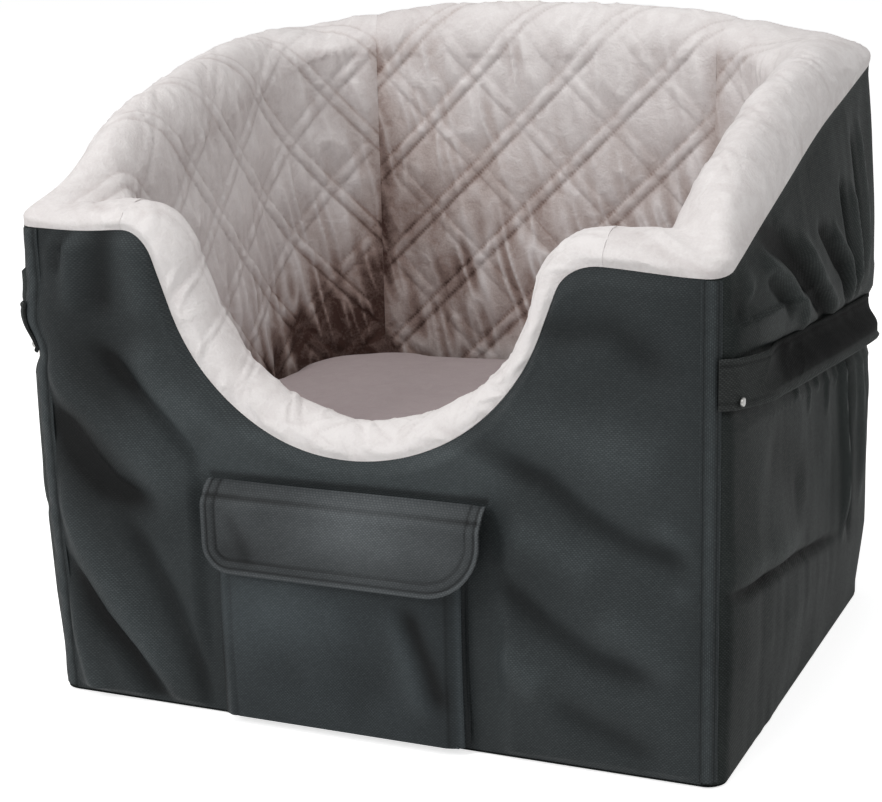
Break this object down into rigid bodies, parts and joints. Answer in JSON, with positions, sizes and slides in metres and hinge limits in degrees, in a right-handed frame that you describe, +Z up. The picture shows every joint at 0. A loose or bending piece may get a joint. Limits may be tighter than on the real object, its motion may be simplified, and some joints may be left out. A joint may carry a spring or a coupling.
{
  "type": "dog car seat",
  "caption": "Raised foam booster seat for a small dog, woven cover, quilted plush lining, low scooped front, flap pocket, loose cushion and a buckled strap round the back.",
  "frame": {"origin": "centre of the flat underside, in the middle of the cover's width and depth", "axes": "+Z up from the surface the seat stands on, +X along the seat's width to its right seen from the scooped front, -Y towards the front"},
  "size_m": [0.489, 0.3968, 0.4211],
  "materials": {
    "woven_cover": "charcoal woven polyester, slightly satin",
    "plush_lining": "short warm light-grey plush, quilted",
    "cushion_plush": "short mauve-grey plush",
    "foam": "upholstery foam, cut faces",
    "hook_and_loop": "black hook-and-loop tape",
    "webbing": "black ribbed webbing",
    "plastic": "black moulded acetal",
    "zinc": "tumbled zinc alloy"
  },
  "bodies": {
    "shell": {"cover_front": "woven_cover", "cover_left": "woven_cover", "cover_right": "woven_cover", "cover_back": "woven_cover", "cover_base": "woven_cover", "corner_seam_left": "woven_cover", "corner_seam_right": "woven_cover", "foam_front": "foam", "foam_left": "foam", "foam_right": "foam", "foam_back": "foam", "foam_floor": "foam", "lining_front": "plush_lining", "lining_left": "plush_lining", "lining_right": "plush_lining", "lining_back": "plush_lining", "lining_floor": "plush_lining", "pocket_front": "woven_cover", "pocket_gusset_left": "woven_cover", "pocket_gusset_right": "woven_cover", "pocket_bottom": "woven_cover", "loop_strip": "hook_and_loop", "side_band_left": "woven_cover", "side_band_right": "woven_cover", "band_rivet_left": "zinc", "band_rivet_right": "zinc", "strap_left": "webbing", "strap_right": "webbing", "buckle_socket": "plastic", "zip_tape_upper": "webbing", "zip_tape_lower": "webbing", "zip_chain": "plastic"},
    "flap": {"pocket_flap": "woven_cover", "hook_strip": "hook_and_loop"},
    "cushion": {"seat_cushion": "cushion_plush"},
    "buckle_male": {"buckle_insert": "plastic"},
    "zip_runner": {"zip_slider": "zinc"},
    "zip_tab": {"zip_pull": "zinc"}
  },
  "joints": [
    {"name": "flap_hinge", "type": "hinge", "parent": "shell", "child": "flap", "pos_m": [-0.0095, -0.1868, 0.16], "axis": [-1, 0, 0], "range_deg": [0, 120]},
    {"name": "cushion_lift", "type": "slide", "parent": "shell", "child": "cushion", "axis": [0, 0, 1], "range_m": [0, 0.33]},
    {"name": "buckle_slide", "type": "slide", "parent": "shell", "child": "buckle_male", "axis": [1, 0, 0], "range_m": [0, 0.05]},
    {"name": "zip_slide", "type": "slide", "parent": "shell", "child": "zip_runner", "axis": [-1, 0, 0], "range_m": [0, 0.37]},
    {"name": "zip_tab_swing", "type": "hinge", "parent": "zip_runner", "child": "zip_tab", "pos_m": [0.19, 0.19155, 0.05], "axis": [0, 0, 1], "range_deg": [0, 165]}
  ]
}
